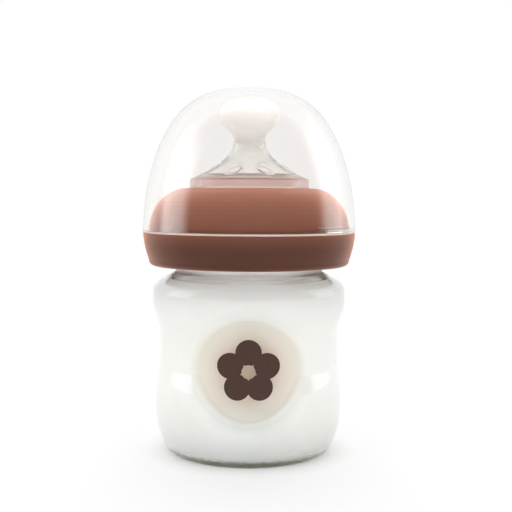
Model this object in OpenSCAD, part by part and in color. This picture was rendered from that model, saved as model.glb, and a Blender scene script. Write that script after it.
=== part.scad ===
// Wide-neck glass baby bottle: a waisted glass body full of milk, a brown screw ring,
// a clear silicone teat and a clear dome hood.
// Millimetres. +Z is up, the origin is the centre of the foot, and the round dimple faces -Y.

/* [Glass body] */
// Height of the glass from the foot to the rim
bottle_h = 83.4; // [80:0.2:92]
// Height from the shoulder's edge to the rim
neck_h = 29.6; // [28.6:0.1:31]
// Radius of the belly
belly_r = 31.4; // [30:0.1:33]
// Width of the rounded heel, from the foot ring out to the belly
heel_w = 5.9; // [5:0.1:9]
// Height of the hollow under the base
punt_h = 0.6; // [0.3:0.1:1.2]
// How far the waist lies inside the belly
waist_in = 1.5; // [1:0.1:2.4]
// How far the band under the shoulder stands outside the belly
band_out = 0.8; // [0:0.1:1.6]
// Height of the belly's fullest point, over the height of the body
belly_share = 0.3; // [0.26:0.005:0.34]
// Height at which the waist begins, over the height of the body
waist_low_share = 0.54; // [0.48:0.01:0.58]
// Height at which the waist ends, over the height of the body
waist_top_share = 0.755; // [0.7:0.005:0.8]
// Height at which the band begins, over the height of the body
band_low_share = 0.94; // [0.9:0.01:0.97]
// Radius of the shoulder's round edge
shoulder_round = 4; // [3.2:0.1:5]
// Slope of the shoulder above the horizontal, in degrees
shoulder_slope = 30; // [24:1:34]
// Thickness of the glass wall
glass_wall = 2.2; // [1.6:0.1:2.8]
// Thickness of the glass base at its middle
base_t = 2.4; // [2:0.1:5]

/* [Neck] */
// Thickness of the neck's wall
neck_wall = 3; // [2:0.1:3.6]
// Radius of the rounding at the foot of the neck
neck_fillet = 1.6; // [0.8:0.1:2.4]
// Rise of the thread in one turn
thread_lead = 8; // [7:0.1:9]
// Height of the glass thread above the neck
thread_h = 1.4; // [1:0.05:1.6]
// Turns of each of the thread's two starts
thread_turns = 1; // [0.75:0.05:1.1]

/* [Front dimple and print] */
// Radius of the round dimple
dimple_r = 16.6; // [14:0.1:17]
// Height of the dimple's centre, over the height of the body
dimple_share = 0.58; // [0.56:0.005:0.61]
// Depth of the dimple's floor below the waist
dimple_depth = 1.3; // [0.8:0.1:1.8]
// Distance from the flower's centre to a petal's centre
petal_out = 6; // [4:0.1:7]
// Radius of one printed petal
petal_r = 4.1; // [2.5:0.1:5]
// Radius of the bare eye of the flower
eye_r = 2.2; // [1:0.1:3]
// Thickness of the printed ink
ink_t = 0.15; // [0.1:0.01:0.3]

/* [Volume scale and milk] */
// Millilitres between two marks
mark_step_ml = 10; // [5:5:20]
// Millilitres at the highest mark
mark_top_ml = 120; // [60:10:120]
// Every so many marks, one is long
long_mark_every = 3; // [2:1:5]
// Height of one mark
mark_h = 0.7; // [0.4:0.1:1]
// Angle that a long mark covers, in degrees
long_mark_angle = 20; // [12:1:30]
// Angle that a short mark covers, in degrees
short_mark_angle = 10; // [6:1:12]
// Depth of the milk's surface below the rim
milk_depth = 26.4; // [25.6:0.2:60]

/* [Screw ring] */
// Outer radius of the ring, which the hood is flush with
ring_r = 35.5; // [33:0.1:37]
// Width of the ring, from the neck out to its side
ring_w = 11.1; // [10.4:0.1:12.4]
// Height of the plain band below the hood
ring_band_h = 11; // [9:0.5:12.5]
// How far the band tapers in from its top to its bottom
band_taper = 1.9; // [1:0.1:2.2]
// Radius of the rounding under the band
band_round = 1.8; // [0.8:0.1:2]
// Height of the domed crown above the hood's seat
crown_h = 14.6; // [13:0.1:16]
// Thickness of the ring's outer shell
shell_t = 2; // [1.5:0.1:2.3]
// Thickness of the plate that presses on the teat's flange
plate_t = 2.8; // [2.2:0.1:3.6]
// Width of the flat top of the crown, round the opening
crown_land = 2.8; // [2.2:0.1:3.4]
// Length of the threaded skirt below the plate
skirt_l = 21; // [19:0.5:22]
// Thickness of the threaded skirt
skirt_t = 1.9; // [1.4:0.1:2.1]
// Number of ribs between the skirt and the shell
rib_count = 12; // [6:1:18]
// Thickness of a rib
rib_t = 1.2; // [0.8:0.1:1.6]

/* [Teat] */
// How far the teat's root lies inside the neck's outer wall
root_in = 6.5; // [6.2:0.1:8]
// Thickness of the flange that seals on the rim
flange_t = 2; // [1.5:0.1:2.6]
// Depth of the sealing bead that reaches into the neck
seal_depth = 1.2; // [0.6:0.1:2]
// Thickness of the silicone
teat_wall = 1.8; // [1.2:0.1:2.2]
// Height of the collar that sits on the crown
collar_h = 3.2; // [2.4:0.1:4]
// How far the collar stands outside the teat's root
collar_out = 2.1; // [1.2:0.1:2.4]
// Height of the flare, from the collar to the narrow neck
flare_h = 12.4; // [10:0.1:14]
// Radius of the narrow neck
teat_neck_r = 5.2; // [5:0.1:7]
// Height from the narrow neck to the tip's widest point
bulb_h = 8; // [7:0.1:10]
// Radius of the tip
bulb_r = 10.1; // [9:0.1:11.5]
// Height from the tip's widest point to its top
tip_h = 6.4; // [5:0.1:8]
// Radius of the feeding hole
feed_hole_r = 0.35; // [0.2:0.05:0.6]
// Number of raised petals round the flare
petal_count = 8; // [6:1:8]
// Radius of a raised petal's rounded back
petal_back_r = 2.4; // [2:0.1:2.8]
// Height of a petal above the flare
petal_proud = 0.7; // [0.4:0.05:0.9]

/* [Hood] */
// Thickness of the hood
hood_wall = 1.3; // [1:0.1:1.5]
// Gap between the teat's tip and the hood
tip_gap = 1.2; // [0.5:0.1:3]
// Angle that a snap lug covers, in degrees
lug_angle = 46; // [20:1:60]
// Height of a snap lug
lug_h = 1; // [0.6:0.1:1.2]

/* [Hidden] */
$fn = 96;
STEPS = 14;            // points on a curved stretch of an outline
far = 200;             // reach of a cutting block past the object

// Clearances between pieces
hood_gap = 0.6;        // hood's inside to the crown
snap_gap = 0.05;       // snap lug to the snap bead, where a real hood would press past
lug_seat_gap = 0.3;    // snap lug to the bead above it
thread_gap = 0.4;      // glass thread's crest to the skirt's bore
flank_gap = 0.25;      // loaded flank of the ring's thread to the glass thread
root_gap = 0.3;        // teat's root to the ring's opening
collar_gap = 0.1;      // teat's collar to the crown under it
flange_gap = 0.8;      // flange's edge to the skirt's bore
seal_gap = 0.3;        // sealing bead to the neck's bore
overlap = 0.4;         // how deep a rib or a thread is rooted in its wall

// Glass: levels that follow from the driving sizes
band_top_z = bottle_h - neck_h;
belly_z = belly_share * band_top_z;
waist_low_z = waist_low_share * band_top_z;
waist_top_z = waist_top_share * band_top_z;
band_low_z = band_low_share * band_top_z;
dimple_z = dimple_share * band_top_z;
milk_z = bottle_h - milk_depth;

// Glass: radii and shapes
foot_r = belly_r - heel_w;
waist_r = belly_r - waist_in;
band_r = belly_r + band_out;
neck_r = ring_r - ring_w;
neck_bore_r = neck_r - neck_wall;
dimple_floor_r = waist_r - dimple_depth;
heel_power = 1.8;      // below 2, the heel is flatter than an ellipse
belly_power = 2.5;     // above 1, the belly turns in sharply at the waist
starts = 2;
thread_pitch = thread_lead / starts;
thread_top = 3;        // rim to the upper end of the glass thread
root_share = 0.56;     // thread's width at its root, over the pitch
crest_share = 0.24;    // thread's width at its crest, over the pitch
ring_share = 0.8;      // ring's thread over the glass thread, in width
thread_taper = 30;     // degrees over which a thread runs out at each end
thread_step = 7.5;     // degrees between two sections of a thread
rim_round = 0.9;
foot_land = 2.4;       // width of the flat ring under the heel

// Ring and teat: levels
collar_rise = 0.6;     // slope from the collar's edge up to the flare
seat_z = bottle_h + flange_t;
crown_top_z = seat_z + plate_t;
ledge_z = crown_top_z - crown_h;
ring_low_z = ledge_z - ring_band_h;
skirt_low_z = seat_z - skirt_l;
collar_low_z = crown_top_z + collar_gap;
collar_z = collar_low_z + collar_h;
flare_z = collar_z + collar_rise;
teat_neck_z = flare_z + flare_h;
bulb_z = teat_neck_z + bulb_h;
tip_z = bulb_z + tip_h;

// Ring and teat: radii
root_r = neck_r - root_in;
bore_r = neck_r + thread_h + thread_gap;
flange_r = bore_r - flange_gap;
opening_r = root_r + root_gap;
collar_r = root_r + collar_out;
crown_top_r = opening_r + crown_land;
crown_base_r = ring_r - hood_wall - hood_gap;
shell_r = crown_base_r - shell_t;
band_power = 1.6;      // above 1, the band turns in more and more towards its foot
edge_round = 0.4;      // small roundings on the ring's edges
collar_round = 0.9;    // rounding of the teat's collar
snap_bead_h = 0.6;
snap_bead_out = 0.3;
snap_bead_past = 4;    // degrees that a bead reaches past its lug on each side

// Hood
hood_top_z = tip_z + tip_gap + hood_wall;
hood_power_r = 2.9;    // above 2, the dome's top is broader than an ellipse
hood_power_z = 1.9;    // below 2, its sides lean in sooner
lug_z = 0.6;           // hood's rim to the underside of a lug
lug_from = -48;        // direction at which the first lug begins, from +X towards +Y

GLASS = [0.86, 0.89, 0.89, 0.45];
MILK = [0.95, 0.94, 0.91];
BROWN = [0.48, 0.26, 0.19];
INK = [0.24, 0.13, 0.10];
SILICONE = [0.93, 0.93, 0.92, 0.6];
CLEAR = [0.92, 0.94, 0.95, 0.35];

// ---- curves ----

function mix(a, b, t) = a + (b - a) * t;
function ease(t) = (1 - cos(180 * t)) / 2;

// Points on a circle's arc, from angle a0 to a1
function arc(x, z, r, a0, a1, n = STEPS) =
    [for (i = [0:n]) let (a = mix(a0, a1, i / n)) [x + r * cos(a), z + r * sin(a)]];

// A quarter of an oval, from its side to its top; powers of 2 make an ellipse
function quarter(x, z, rx, rz, px = 2, pz = 2, n = STEPS) =
    [for (i = [0:n]) let (a = 90 * i / n)
        [x + rx * pow(abs(cos(a)), 2 / px), z + rz * pow(abs(sin(a)), 2 / pz)]];

// A cubic curve from a to d that leaves towards b and arrives from c
function curve(a, b, c, d, n = STEPS) =
    [for (i = [0:n]) let (t = i / n, s = 1 - t)
        s * s * s * a + 3 * s * s * t * b + 3 * s * t * t * c + t * t * t * d];

function reversed(p) = [for (i = [len(p) - 1:-1:0]) p[i]];

// Radius of an outline at height z, where the outline rises from one point to the next
function radius_at(p, z, i = 0) =
    i >= len(p) - 2 || p[i + 1][1] >= z
        ? mix(p[i][0], p[i + 1][0],
              (z - p[i][1]) / max(p[i + 1][1] - p[i][1], 0.001))
        : radius_at(p, z, i + 1);

// The part of a rising outline between two heights
function stretch(p, low, high) = concat(
    [[radius_at(p, low), low]],
    [for (q = p) if (q[1] > low + 0.01 && q[1] < high - 0.01) q],
    [[radius_at(p, high), high]]);

// Height to which ml millilitres fill a round vessel with this inner outline
function level_of(p, ml, i = 0) =
    let (a = p[i], b = p[i + 1], rise = b[1] - a[1],
         held = PI * rise * (a[0] * a[0] + a[0] * b[0] + b[0] * b[0]) / 3000)
    held >= ml || i >= len(p) - 3
        ? a[1] + rise * ml / max(held, 0.001)
        : level_of(p, ml - held, i + 1);

// ---- glass bottle ----

// Where the shoulder's round edge ends, set in by w
function shoulder_end(w) =
    [band_r - shoulder_round + (shoulder_round - w) * cos(90 - shoulder_slope),
     band_top_z + (shoulder_round - w) * sin(90 - shoulder_slope)];

// Height of the shoulder's slope at radius r, set in by w
function slope_z(r, w) =
    shoulder_end(w)[1] + (shoulder_end(w)[0] - r) * tan(shoulder_slope);

// Side of the body from the heel to the shoulder, set in by w, starting at height z0
function side(w, z0) = concat(
    [for (p = quarter(0, 0, 1, 1, heel_power, heel_power))
        [mix(foot_r, belly_r - w, p[1]), mix(belly_z, z0, p[0])]],
    [for (i = [1:STEPS]) let (t = i / STEPS)
        [belly_r - w - (belly_r - waist_r) * pow(t, belly_power),
         mix(belly_z, waist_low_z, t)]],
    [for (i = [0:STEPS]) let (t = i / STEPS)
        [mix(waist_r, band_r, ease(t)) - w, mix(waist_top_z, band_low_z, t)]],
    arc(band_r - shoulder_round, band_top_z, shoulder_round - w, 0, 90 - shoulder_slope));

// Outline of the glass from its foot to its rim
function glass_outline() =
    let (fillet_z = slope_z(neck_r + neck_fillet, 0) + neck_fillet / cos(shoulder_slope))
    concat(
        [[0, punt_h]],
        reversed(quarter(0, 0, foot_r - foot_land, punt_h)),
        side(0, 0),
        reversed(arc(neck_r + neck_fillet, fillet_z, neck_fillet,
                     180, 270 - shoulder_slope, 6)),
        arc(neck_r - rim_round, bottle_h - rim_round, rim_round, 0, 90, 6),
        [[0, bottle_h]]);

// Outline of the space inside the glass
function cavity_outline() = concat(
    [[0, base_t]],
    side(glass_wall, base_t),
    [[neck_bore_r, slope_z(neck_bore_r, glass_wall)],
     [neck_bore_r, bottle_h + 1],
     [0, bottle_h + 1]]);

// Round block in front of the floor of the dimple, grown by w
module dimple_block(w) {
    difference() {
        translate([0, 0, dimple_z]) rotate([90, 0, 0]) cylinder(r = dimple_r + w, h = far);
        cylinder(r = dimple_floor_r - w, h = far);
    }
}

module cavity() {
    difference() {
        rotate_extrude() polygon(cavity_outline());
        dimple_block(glass_wall);
    }
}

// One start of a thread: a ridge from root to crest radius that winds down from z
module ridge(root, crest, z, turn, root_w, crest_w) {
    n = round(thread_turns * 360 / thread_step);
    function shown(i) = min(1, min(i, n - i) * thread_step / thread_taper);
    points = [for (i = [0:n]) let (
            a = turn - i * thread_step,
            mid = z - thread_lead * i * thread_step / 360,
            top = mix(mix(root, crest, 0.1), crest, shown(i)))
        each [for (q = [[root, root_w], [top, crest_w], [top, -crest_w], [root, -root_w]])
            [q[0] * cos(a), q[0] * sin(a), mid + q[1] / 2]]];
    sides = [for (i = [0:n - 1], k = [0:3]) let (
            a = 4 * i + k, b = 4 * i + (k + 1) % 4)
        each [[a, b + 4, a + 4], [a, b, b + 4]]];
    ends = [[3, 2, 1, 0], [4 * n, 4 * n + 1, 4 * n + 2, 4 * n + 3]];
    faces = concat(sides, ends);
    polyhedron(points, root < crest ? faces : [for (f = faces) reversed(f)], convexity = 10);
}

module glass_thread() {
    for (s = [0:starts - 1])
        ridge(neck_r - overlap, neck_r + thread_h, bottle_h - thread_top - thread_pitch / 2,
              360 * s / starts, thread_pitch * root_share, thread_pitch * crest_share);
}

module glass_bottle() {
    color(GLASS) union() {
        difference() {
            rotate_extrude() polygon(glass_outline());
            cavity();
            dimple_block(0);
        }
        glass_thread();
    }
}

module milk_fill() {
    color(MILK) intersection() {
        cavity();
        translate([0, 0, milk_z - far / 2]) cube(far, center = true);
    }
}

// A plain flower of round petals, printed on the floor of the dimple
module front_print() {
    color(INK) intersection() {
        translate([0, 0, dimple_z]) rotate([90, 0, 0]) linear_extrude(far) difference() {
            for (a = [0:72:288]) rotate(90 + a) translate([petal_out, 0]) circle(petal_r);
            circle(eye_r);
        }
        difference() {
            cylinder(r = dimple_floor_r + ink_t, h = far);
            cylinder(r = dimple_floor_r, h = far);
        }
    }
}

// Printed marks on the back, each at the height to which its volume fills the glass
module volume_scale() {
    color(INK) for (k = [1:floor(mark_top_ml / mark_step_ml)]) {
        z = level_of(side(glass_wall, base_t), k * mark_step_ml);
        wall = stretch(side(0, 0), z - mark_h / 2, z + mark_h / 2);
        angle = k % long_mark_every == 0 ? long_mark_angle : short_mark_angle;
        rotate(90 + long_mark_angle / 2 - angle) rotate_extrude(angle = angle)
            polygon(concat(reversed(wall), [for (q = wall) q + [ink_t, 0]]));
    }
}

// ---- screw ring ----

function ring_outline() =
    let (band_low_r = ring_r - band_taper,
         hollow_x = bore_r + skirt_t,
         hollow_rx = shell_r - crown_top_r,
         hollow_rz = crown_h - shell_t,
         hollow_a = acos((hollow_x - crown_top_r) / hollow_rx))
    concat(
        arc(band_low_r - band_round, ring_low_z + band_round, band_round, -90, -10, 8),
        [for (i = [STEPS:-1:1]) let (t = i / STEPS)
            [ring_r - band_taper * pow(t, band_power),
             ledge_z - edge_round - t * (ring_band_h - band_round - edge_round)]],
        arc(ring_r - edge_round, ledge_z - edge_round, edge_round, 0, 90, 4),
        [[crown_base_r, ledge_z]],
        quarter(crown_top_r, ledge_z, crown_base_r - crown_top_r, crown_h),
        arc(opening_r + edge_round, crown_top_z - edge_round, edge_round, 90, 180, 4),
        [[opening_r, seat_z], [bore_r, seat_z],
         [bore_r, skirt_low_z], [hollow_x, skirt_low_z]],
        [for (i = [0:STEPS]) let (a = mix(hollow_a, 0, i / STEPS))
            [crown_top_r + hollow_rx * cos(a), ledge_z + hollow_rz * sin(a)]],
        [[shell_r, ring_low_z]]);

// Two short half-round beads low on the crown, which the hood's lugs snap under
module snap_beads() {
    low = ledge_z + lug_z + lug_h + lug_seat_gap;
    out = crown_base_r + hood_gap - lug_reach() - snap_gap;
    for (a = [0, 180])
        rotate(lug_from - snap_bead_past + a)
            rotate_extrude(angle = lug_angle + 2 * snap_bead_past) polygon([
                [out - snap_bead_out - 1, low - snap_bead_out],
                [out - snap_bead_out, low - snap_bead_out],
                [out, low], [out, low + snap_bead_h / 2],
                [out - snap_bead_out, low + snap_bead_h],
                [out - snap_bead_out - 1, low + snap_bead_h]]);
}

module ring_ribs() {
    reach = shell_r + overlap - (bore_r + skirt_t - overlap);
    low = max(skirt_low_z, ring_low_z) + 1;
    for (a = [0:360 / rib_count:359])
        rotate(a) translate([bore_r + skirt_t - overlap, -rib_t / 2, low])
            cube([reach, rib_t, ledge_z + 1 - low]);
}

module ring_thread() {
    tight = thread_pitch * (root_share + crest_share * ring_share) / 2 + flank_gap;
    for (s = [0:starts - 1])
        ridge(bore_r + overlap, neck_r + thread_gap,
              bottle_h - thread_top - thread_pitch / 2 - tight,
              360 * s / starts, thread_pitch * root_share * ring_share,
              thread_pitch * crest_share * ring_share);
}

module screw_ring() {
    color(BROWN) union() {
        rotate_extrude() polygon(ring_outline());
        snap_beads();
        ring_ribs();
        ring_thread();
    }
}

// ---- silicone teat ----

// Outer outline of the teat above its collar, set in by w
function flare(w) = curve(
    [root_r - w, flare_z], [mix(teat_neck_r, root_r, 0.56) - w, flare_z + flare_h * 0.25],
    [teat_neck_r - w, flare_z + flare_h * 0.51], [teat_neck_r - w, teat_neck_z]);

function bulb(w) = concat(
    curve([teat_neck_r - w, teat_neck_z], [teat_neck_r - w, teat_neck_z + bulb_h * 0.42],
          [bulb_r - w, teat_neck_z + bulb_h * 0.48], [bulb_r - w, bulb_z]),
    quarter(0, bulb_z, bulb_r - w, tip_h - w, 2.2, 2.2));

module teat_shell() {
    difference() {
        rotate_extrude() polygon(concat(
            [[0, bottle_h], [flange_r, bottle_h], [flange_r, seat_z], [root_r, seat_z],
             [root_r, collar_low_z]],
            arc(collar_r - edge_round, collar_low_z + edge_round, edge_round, -90, 0, 4),
            arc(collar_r - collar_round, collar_z - collar_round, collar_round, 0, 90, 8),
            flare(0), bulb(0)));
        rotate_extrude() polygon(concat(
            [[0, bottle_h - 1], [root_r - teat_wall, bottle_h - 1]],
            flare(teat_wall), bulb(teat_wall)));
        translate([0, 0, bulb_z]) cylinder(r = feed_hole_r, h = far);
    }
}

// Bead under the flange that seals inside the neck
module seal_bead() {
    out = neck_bore_r - seal_gap;
    rotate_extrude() polygon([
        [out - 1.2, bottle_h + overlap], [out - 0.8, bottle_h - seal_depth],
        [out - 0.3, bottle_h - seal_depth], [out, bottle_h + overlap]]);
}

// Raised petals that run up the flare, each a round bar sunk into the silicone
module petals() {
    low = flare(0)[1];
    high = flare(0)[6];
    lean = atan2(high[1] - low[1], low[0] - high[0]);
    sunk = petal_back_r - petal_proud;
    for (k = [0:petal_count - 1])
        rotate(90 + 180 / petal_count + 360 * k / petal_count)
            translate([low[0] - sunk * sin(lean), 0, low[1] - sunk * cos(lean)])
                rotate([0, lean - 90, 0]) intersection() {
                    union() {
                        cylinder(r = petal_back_r, h = norm(high - low));
                        sphere(petal_back_r);
                        translate([0, 0, norm(high - low)]) sphere(petal_back_r);
                    }
                    translate([petal_back_r - teat_wall / 2 - petal_proud, -far / 2, -far / 2])
                        cube(far);
                }
}

module silicone_teat() {
    color(SILICONE) union() {
        teat_shell();
        seal_bead();
        petals();
    }
}

// ---- hood ----

function lug_reach() = hood_gap - 0.2;

module clear_hood() {
    color(CLEAR) union() {
        difference() {
            rotate_extrude() polygon(concat(
                [[0, ledge_z]],
                quarter(0, ledge_z, ring_r, hood_top_z - ledge_z,
                        hood_power_r, hood_power_z, 40)));
            rotate_extrude() polygon(concat(
                [[0, ledge_z - 1], [ring_r - hood_wall, ledge_z - 1]],
                quarter(0, ledge_z, ring_r - hood_wall, hood_top_z - hood_wall - ledge_z,
                        hood_power_r, hood_power_z, 40)));
        }
        for (a = [0, 180])
            rotate(lug_from + a) rotate_extrude(angle = lug_angle)
                translate([ring_r - hood_wall - lug_reach(), ledge_z + lug_z])
                    square([lug_reach() + overlap, lug_h]);
    }
}

glass_bottle();
milk_fill();
front_print();
volume_scale();
silicone_teat();
screw_ring();
clear_hood();
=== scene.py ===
"""Looks of a wide-neck glass baby bottle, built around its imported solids.

The bottle, the milk, the teat and the hood are smooth surfaces of revolution worked out
with numpy in millimetres and put into meshes in metres. The screw ring and both prints
keep their solids and get a finish.
"""

import logging
import math
from dataclasses import dataclass, replace
from enum import Enum
from functools import cache
from typing import Any, Sequence

import bpy
import numpy as np
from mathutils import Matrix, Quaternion, Vector

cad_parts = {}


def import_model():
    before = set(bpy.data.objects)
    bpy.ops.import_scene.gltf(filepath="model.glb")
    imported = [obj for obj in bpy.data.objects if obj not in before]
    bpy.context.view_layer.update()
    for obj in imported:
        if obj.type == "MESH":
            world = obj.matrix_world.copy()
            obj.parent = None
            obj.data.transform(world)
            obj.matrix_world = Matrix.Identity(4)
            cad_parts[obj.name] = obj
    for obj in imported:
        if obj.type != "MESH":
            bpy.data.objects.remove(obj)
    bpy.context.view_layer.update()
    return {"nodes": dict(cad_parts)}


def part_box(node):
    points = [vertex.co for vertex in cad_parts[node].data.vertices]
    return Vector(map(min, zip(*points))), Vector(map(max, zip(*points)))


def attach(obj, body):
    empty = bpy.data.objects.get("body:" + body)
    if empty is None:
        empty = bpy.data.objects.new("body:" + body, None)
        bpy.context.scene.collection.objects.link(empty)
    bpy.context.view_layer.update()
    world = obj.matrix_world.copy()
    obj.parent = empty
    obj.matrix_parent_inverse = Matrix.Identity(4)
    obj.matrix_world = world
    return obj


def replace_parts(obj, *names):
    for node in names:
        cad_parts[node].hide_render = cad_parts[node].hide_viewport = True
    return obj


LOG = logging.getLogger("baby_bottle")
MM = 0.001  # metres in a millimetre
FULL_TURN = 2 * math.pi
TINY = 1e-6  # a shorter length in millimetres counts as none
WHITE = (1.0, 1.0, 1.0)
LOOKING = ("Is Camera Ray", "Is Glossy Ray", "Is Transmission Ray")

Array = np.ndarray
Link = bpy.types.NodeSocket
Material = bpy.types.Material
Piece = bpy.types.Object
Pair = tuple[float, float]
Triple = tuple[float, float, float]
Colour = Triple


def srgb(*screen: int) -> Colour:
    """Turn a screen colour into the linear colour of a shader.

    Args:
        *screen: Red, green and blue of 0 to 255.

    Returns:
        The linear colour.
    """
    low_end, low_slope, offset, power = 0.04045, 12.92, 0.055, 2.4
    channels = np.array(screen) / 255
    curved = ((channels + offset) / (1 + offset)) ** power
    linear = np.where(channels <= low_end, channels / low_slope, curved)
    return tuple(float(v) for v in linear)


# ---- curves ----


def smoothstep(t: Array) -> Array:
    """Ease from 0 to 1: three t squared less two t cubed, with t held between 0 and 1."""
    held = np.clip(t, 0, 1)
    return held * held * (3 - 2 * held)


def oval_quarter(centre: Pair, reach: Pair, powers: Pair = (2, 2), count: int = 24) -> Array:
    """Follow a quarter of an oval from its side to its top.

    A point is the centre plus the reach times cosine and sine of an angle from 0 to 90
    degrees, each raised to 2 over its power, so powers of 2 give an ellipse.

    Args:
        centre: Radius and height of the oval's centre.
        reach: Reach along the radius and along the height.
        powers: Fullness along the radius and along the height.
        count: Number of points.

    Returns:
        The points, one a row, as radius and height.
    """
    angle = np.linspace(0, math.pi / 2, count)
    across = np.abs(np.cos(angle)) ** (2 / powers[0])
    up = np.abs(np.sin(angle)) ** (2 / powers[1])
    return np.array(centre) + np.array(reach) * np.column_stack([across, up])


def arc(centre: Pair, radius: float, start: float, end: float, count: int = 8) -> Array:
    """Follow a circle's arc: centre plus radius times the angle's cosine and sine."""
    angle = np.radians(np.linspace(start, end, count))
    return np.array(centre) + radius * np.column_stack([np.cos(angle), np.sin(angle)])


def cubic(points: Sequence[Pair], count: int = 24) -> Array:
    """Follow a cubic curve: its four points weighted by the Bernstein polynomials.

    Args:
        points: Start, two handles and end.
        count: Number of points.

    Returns:
        The points, one a row.
    """
    t = np.linspace(0, 1, count)[:, None]
    weights = [(1 - t) ** 3, 3 * (1 - t) ** 2 * t, 3 * (1 - t) * t**2, t**3]
    return sum(w * np.array(p) for w, p in zip(weights, points))


def resampled(outline: Array, spacing: float) -> Array:
    """Place points at even steps along an outline, straight between its own points.

    Args:
        outline: Points of the outline, one a row.
        spacing: Greatest step.

    Returns:
        The new points, the ends included.
    """
    steps = np.linalg.norm(np.diff(outline, axis=0), axis=1)
    outline = outline[np.concatenate([[True], steps > TINY])]
    steps = np.linalg.norm(np.diff(outline, axis=0), axis=1)
    along = np.concatenate([[0], np.cumsum(steps)])
    even = np.linspace(0, along[-1], max(2, math.ceil(along[-1] / spacing) + 1))
    return np.column_stack([np.interp(even, along, outline[:, k]) for k in (0, 1)])


# ---- meshes ----


def around(radii: Array, angles: Array, heights: Array) -> Array:
    """Place points about the axis, at radius times cosine, radius times sine, height."""
    parts = np.broadcast_arrays(radii * np.cos(angles), radii * np.sin(angles), heights)
    return np.stack(parts, axis=-1)


def turned(outline: Array, angles: Array) -> Array:
    """Turn an outline of radius and height about the axis: a grid, outline by angle."""
    return around(outline[:, :1], angles, outline[:, 1:])


def pushed(grid: Array, scale: Array) -> Array:
    """Scale each point's distance from the upright axis."""
    return grid * np.stack([scale, scale, np.ones_like(scale)], axis=-1)


class Seam(Enum):
    """How the two ends of a turned outline are closed."""

    POLES = "each end is one point on the axis"
    LOOP = "the last point joins the first"
    SWEPT = "a closed section carried along a path, with a flat cap at each end"


def surface(name: str, grid: Array, seam: Seam) -> Piece:
    """Make a closed mesh from a grid of points in millimetres.

    Every cell of the grid is one face. Columns run round and close on themselves.

    Args:
        name: Name of the piece.
        grid: Points, row by column by three.
        seam: How the rows' ends are closed.

    Returns:
        The new object, with its place in its mesh.
    """
    rows, columns = grid.shape[:2]
    index = np.arange(rows * columns).reshape(rows, columns)
    if seam is Seam.LOOP:
        index = np.concatenate([index, index[:1]])
    after = np.roll(index, -1, axis=1)
    cells = np.stack([index[:-1], after[:-1], after[1:], index[1:]], axis=-1)
    loops, sizes = [cells.ravel()], [np.full(cells.size // 4, 4)]
    points = grid.reshape(-1, 3)
    if seam is Seam.POLES:
        first, last = (np.full(columns, len(points) + k) for k in (0, 1))
        poles = [[0, 0, row[:, 2].mean()] for row in (grid[0], grid[-1])]
        points = np.concatenate([points, poles])
        for fan in ([first, after[0], index[0]], [last, index[-1], after[-1]]):
            loops.append(np.stack(fan, axis=-1).ravel())
            sizes.append(np.full(columns, 3))
    if seam is Seam.SWEPT:
        loops += [index[0][::-1], index[-1]]
        sizes += [np.array([columns]), np.array([columns])]
    return filled_mesh(name, points * MM, np.concatenate(loops), np.concatenate(sizes))


def filled_mesh(name: str, points: Array, loops: Array, sizes: Array) -> Piece:
    """Put points and faces into a new object.

    Args:
        name: Name of the object and its mesh.
        points: Points in metres, one a row.
        loops: Vertex numbers of all faces, one after another.
        sizes: Number of vertices in each face.

    Returns:
        The object, linked to the scene and shaded smooth.
    """
    mesh = bpy.data.meshes.new(name)
    mesh.vertices.add(len(points))
    mesh.vertices.foreach_set("co", points.astype(np.float32).ravel())
    mesh.loops.add(len(loops))
    mesh.loops.foreach_set("vertex_index", loops.astype(np.int32))
    mesh.polygons.add(len(sizes))
    starts = np.concatenate([[0], np.cumsum(sizes)[:-1]])
    mesh.polygons.foreach_set("loop_start", starts.astype(np.int32))
    mesh.polygons.foreach_set("use_smooth", np.ones(len(sizes), bool))
    mesh.update(calc_edges=True)
    mesh.validate()
    made = bpy.data.objects.new(name, mesh)
    bpy.context.scene.collection.objects.link(made)
    LOG.info("made %s with %d faces", name, len(mesh.polygons))
    return made


# ---- shader maths ----


class Sock:
    """A number that a node gives, which Python's operators carry on through Math nodes."""

    def __init__(self, tree: "Tree", link: Link) -> None:
        """Keep the tree and the output socket."""
        self.tree = tree
        self.link = link

    def _math(self, operation: str, other: Any) -> "Sock":
        """Put one Math node on this number and another."""
        return self.tree.number("Math", {0: self, 1: other}, operation=operation)

    def __add__(self, other: Any) -> "Sock":
        """Add."""
        return self._math("ADD", other)

    __radd__ = __add__

    def __sub__(self, other: Any) -> "Sock":
        """Take away."""
        return self._math("SUBTRACT", other)

    def __mul__(self, other: Any) -> "Sock":
        """Multiply."""
        return self._math("MULTIPLY", other)

    __rmul__ = __mul__

    def hypot(self, other: "Sock") -> "Sock":
        """Give the root of the sum of both numbers' squares."""
        return (self * self + other * other)._math("POWER", 0.5)

    def ramp(self, low: float, high: float) -> "Sock":
        """Rise smoothly from 0 at low to 1 at high, or fall where high is the lower."""
        values = {"Value": self, "From Min": low, "From Max": high}
        return self.tree.number("MapRange", values, interpolation_type="SMOOTHSTEP")


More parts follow.
